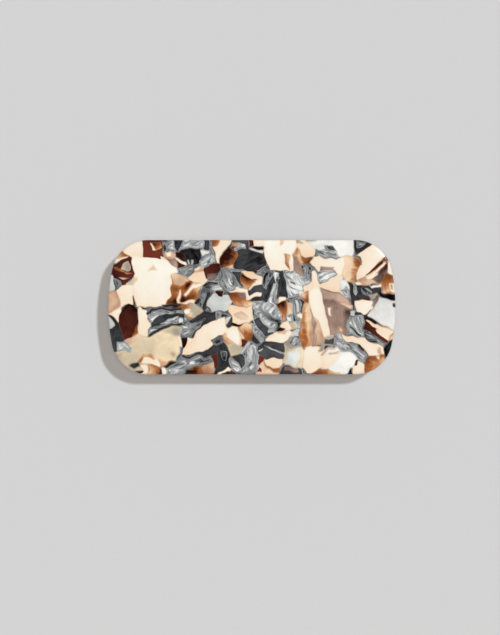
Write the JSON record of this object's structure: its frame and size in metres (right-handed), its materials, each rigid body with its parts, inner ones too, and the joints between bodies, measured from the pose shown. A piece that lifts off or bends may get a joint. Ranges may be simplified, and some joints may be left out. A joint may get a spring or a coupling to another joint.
{
  "type": "barrette",
  "caption": "Flat marbled acetate hair barrette on a steel French clasp, with a swinging arm, a pinch catch and a sprung tension bar.",
  "frame": {"origin": "below the middle of the face plate, at the height of the closed clasp's lowest points", "axes": "+Z out of the face plate's front, +X along the plate towards the hinge, +Y across the plate"},
  "size_m": [0.084, 0.0392, 0.0147],
  "materials": {
    "acetate": "polished marbled cellulose acetate",
    "nickel_steel": "bright nickel plate",
    "pin_steel": "peened nickel-plated wire",
    "spring_steel": "nickel-plated spring steel",
    "tension_steel": "bare blue-grey spring steel",
    "rivet_steel": "bright domed head"
  },
  "bodies": {
    "base": {"face_plate": "acetate", "base_bar": "nickel_steel", "hinge_pin": "pin_steel", "catch_spring": "spring_steel", "rivet_hinge_end": "rivet_steel", "rivet_catch_end": "rivet_steel"},
    "arm": {"clasp_arm": "nickel_steel"},
    "prong_front": {"catch_prong_front": "spring_steel"},
    "prong_rear": {"catch_prong_rear": "spring_steel"},
    "spring_root": {"tension_bar_root": "tension_steel"},
    "spring_tip": {"tension_bar_tip": "tension_steel"}
  },
  "joints": [
    {"name": "arm_swing", "type": "hinge", "parent": "base", "child": "arm", "pos_m": [0.026, 0, 0.0076], "axis": [0, -1, 0], "range_deg": [0, 80]},
    {"name": "prong_pinch_front", "type": "hinge", "parent": "base", "child": "prong_front", "pos_m": [-0.027, -0.00265, 0.00972], "axis": [1, 0, 0], "range_deg": [0, 5.5], "stiffness_Nm_per_rad": 0.28},
    {"name": "prong_pinch_rear", "type": "hinge", "parent": "base", "child": "prong_rear", "pos_m": [-0.027, 0.00265, 0.00972], "axis": [1, 0, 0], "range_deg": [-5.5, 0], "stiffness_Nm_per_rad": 0.28},
    {"name": "tension_press", "type": "hinge", "parent": "base", "child": "spring_root", "pos_m": [0.0208, 0, 0.00995], "axis": [0, 1, 0], "range_deg": [0, 5], "stiffness_Nm_per_rad": 0.5},
    {"name": "tension_flex", "type": "hinge", "parent": "spring_root", "child": "spring_tip", "pos_m": [0, 0, 0.00715], "axis": [0, 1, 0], "range_deg": [-10, 0]}
  ],
  "couplings": [
    {"joint": "prong_pinch_rear", "follows": "prong_pinch_front", "ratio": -1},
    {"joint": "tension_flex", "follows": "tension_press", "ratio": -2}
  ]
}
